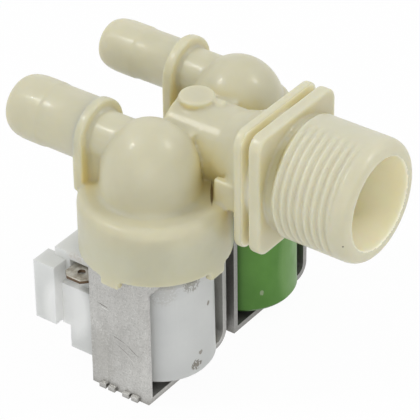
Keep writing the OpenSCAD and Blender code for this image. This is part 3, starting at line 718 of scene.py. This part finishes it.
class INLETVALVE_OT_yokes(bpy.types.Operator):
    """Folded steel yokes with rounded cut edges"""

    bl_idname = "inletvalve.yokes"
    bl_label = "Yokes"

    def execute(self, context):
        for valve in VALVES:
            piece = bmesh.new()
            strip = copy_of(valve + "_yoke", 0.15)
            low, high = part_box(valve + "_yoke")
            face_y = low.y * 1000 + 0.9
            lift = 30.3 - high.z * 1000
            for vert in strip.verts:
                if vert.co.z > 20:
                    vert.co.y = max(vert.co.y, face_y)
                    if vert.co.y < face_y + 0.3 and vert.co.z > high.z * 1000 - 0.4:
                        vert.co.z += lift
            bmesh.ops.dissolve_degenerate(strip, dist=0.02, edges=strip.edges)
            add(piece, strip)
            yoke = piece_object(valve + "_yoke_strip", piece, finish("steel"), smooth_angle=30)
            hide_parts(valve + "_yoke")
        return {"FINISHED"}


class INLETVALVE_OT_contacts(bpy.types.Operator):
    """Contact blades of both coils"""

    bl_idname = "inletvalve.contacts"
    bl_label = "Contact blades"

    def execute(self, context):
        for valve in VALVES:
            piece = bmesh.new()
            add(piece, copy_of(valve + "_terminals", 0.12))
            blades = piece_object(valve + "_blades", piece, finish("brass"), smooth_angle=30)
            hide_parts(valve + "_terminals")
        return {"FINISHED"}


class INLETVALVE_OT_inner_parts(bpy.types.Operator):
    """Finishes of the strainer, the flow washer and the working pieces inside each valve"""

    bl_idname = "inletvalve.inner_parts"
    bl_label = "Inner parts"

    def execute(self, context):
        for node, obj in frame["nodes"].items():
            kind = node.removeprefix("white_").removeprefix("green_")
            if kind in NODE_FINISH:
                obj.data.materials.clear()
                obj.data.materials.append(finish(NODE_FINISH[kind]))
                shade(obj, 35)
        return {"FINISHED"}


class INLETVALVE_OT_stage(bpy.types.Operator):
    """Pale floor, soft studio light and the camera"""

    bl_idname = "inletvalve.stage"
    bl_label = "Stage"

    def execute(self, context):
        self.floor()
        self.world(context)
        self.lamps(context)
        self.camera(context)
        context.scene.view_settings.view_transform = "Standard"
        return {"FINISHED"}

    def floor(self):
        part = bmesh.new()
        bmesh.ops.create_grid(part, x_segments=1, y_segments=1, size=4)
        mesh = bpy.data.meshes.new("floor")
        part.to_mesh(mesh)
        part.free()
        floor = bpy.data.objects.new("floor", mesh)
        bpy.context.scene.collection.objects.link(floor)
        material, tree, shader = new_material("pale_floor", 0.9)
        shader.inputs["Base Color"].default_value = (0.86, 0.86, 0.86, 1)
        glow = tree.nodes.new("ShaderNodeEmission")
        blend = tree.nodes.new("ShaderNodeMixShader")
        share = tree.nodes.new("ShaderNodeMath")
        share.operation = "MULTIPLY"
        share.inputs[1].default_value = 0.96
        tree.links.new(self.seen(tree), share.inputs[0])
        tree.links.new(share.outputs[0], blend.inputs[0])
        tree.links.new(shader.outputs[0], blend.inputs[1])
        tree.links.new(glow.outputs[0], blend.inputs[2])
        tree.links.new(blend.outputs[0], tree.nodes["Material Output"].inputs["Surface"])
        mesh.materials.append(material)

    def seen(self, tree):
        """1 for the rays that show the background: straight from the camera, or by gloss or glass."""
        path = tree.nodes.new("ShaderNodeLightPath")
        socket = path.outputs["Is Camera Ray"]
        for name in ("Is Glossy Ray", "Is Transmission Ray"):
            node = tree.nodes.new("ShaderNodeMath")
            node.operation = "MAXIMUM"
            tree.links.new(socket, node.inputs[0])
            tree.links.new(path.outputs[name], node.inputs[1])
            socket = node.outputs[0]
        return socket

    def world(self, context):
        world = bpy.data.worlds.new("studio")
        context.scene.world = world
        world.use_nodes = True
        tree = world.node_tree
        light = tree.nodes["Background"]
        light.inputs["Color"].default_value = (0.96, 0.98, 1.0, 1)
        light.inputs["Strength"].default_value = 0.68
        white = tree.nodes.new("ShaderNodeBackground")
        white.inputs["Color"].default_value = (1, 1, 1, 1)
        blend = tree.nodes.new("ShaderNodeMixShader")
        tree.links.new(self.seen(tree), blend.inputs[0])
        tree.links.new(light.outputs[0], blend.inputs[1])
        tree.links.new(white.outputs[0], blend.inputs[2])
        tree.links.new(blend.outputs[0], tree.nodes["World Output"].inputs["Surface"])

    def lamps(self, context):
        for name, place, size, power in (
            ("left", (-0.48, -0.40, 0.80), 0.2, 2.4),
            ("right", (0.52, 0.38, 0.78), 0.2, 2.0),
            ("front", (0.55, -0.75, 0.35), 0.6, 1.4),
        ):
            data = bpy.data.lights.new(name, "AREA")
            data.energy = power
            data.size = size
            lamp = bpy.data.objects.new(name, data)
            context.scene.collection.objects.link(lamp)
            lamp.location = place
            lamp.rotation_euler = (Vector((0, 0, 0.03)) - Vector(place)).to_track_quat("-Z", "Y").to_euler()

    def camera(self, context):
        azimuth, elevation, roll = (math.radians(a) for a in (36.502, 34.290, -0.743))
        target = Vector((0.000822 + centre("white_yoke").x, 0.002063, 0.029181))
        right = Vector((math.cos(azimuth), math.sin(azimuth), 0))
        back = Vector((
            math.sin(azimuth) * math.cos(elevation), -math.cos(azimuth) * math.cos(elevation),
            math.sin(elevation),
        ))
        up = back.cross(right)
        right, up = (
            right * math.cos(roll) + up * math.sin(roll), up * math.cos(roll) - right * math.sin(roll)
        )
        data = bpy.data.cameras.new("camera")
        data.sensor_width = 36
        data.lens = 2579.22 * 36 / 420
        data.clip_start = 0.01
        data.clip_end = 20
        camera = bpy.data.objects.new("camera", data)
        context.scene.collection.objects.link(camera)
        camera.matrix_world = Matrix.Translation(target + back * 0.540568) @ Matrix(
            (right, up, back)
        ).transposed().to_4x4()
        context.scene.camera = camera


OPERATORS = (
    INLETVALVE_OT_housing,
    INLETVALVE_OT_inlet,
    INLETVALVE_OT_tails,
    INLETVALVE_OT_coils,
    INLETVALVE_OT_yokes,
    INLETVALVE_OT_contacts,
    INLETVALVE_OT_inner_parts,
    INLETVALVE_OT_stage,
)


class INLETVALVE_PT_panel(bpy.types.Panel):
    """Values and steps of the inlet valve"""

    bl_idname = "INLETVALVE_PT_panel"
    bl_label = "Inlet valve"
    bl_space_type = "VIEW_3D"
    bl_region_type = "UI"
    bl_category = "Inlet valve"

    def draw(self, context):
        for name in ValveValues.__annotations__:
            self.layout.prop(context.scene.inlet_valve, name)
        for operator in OPERATORS:
            self.layout.operator(operator.bl_idname)


CLASSES = (ValveValues, *OPERATORS, INLETVALVE_PT_panel)


def register():
    for cls in CLASSES:
        bpy.utils.register_class(cls)
    bpy.types.Scene.inlet_valve = bpy.props.PointerProperty(type=ValveValues)


def unregister():
    del bpy.types.Scene.inlet_valve
    for cls in reversed(CLASSES):
        bpy.utils.unregister_class(cls)


def main():
    register()
    for operator in OPERATORS:
        group, name = operator.bl_idname.split(".")
        if getattr(getattr(bpy.ops, group), name)() != {"FINISHED"}:
            raise RuntimeError(operator.bl_idname + " did not finish")


if __name__ == "__main__":
    main()
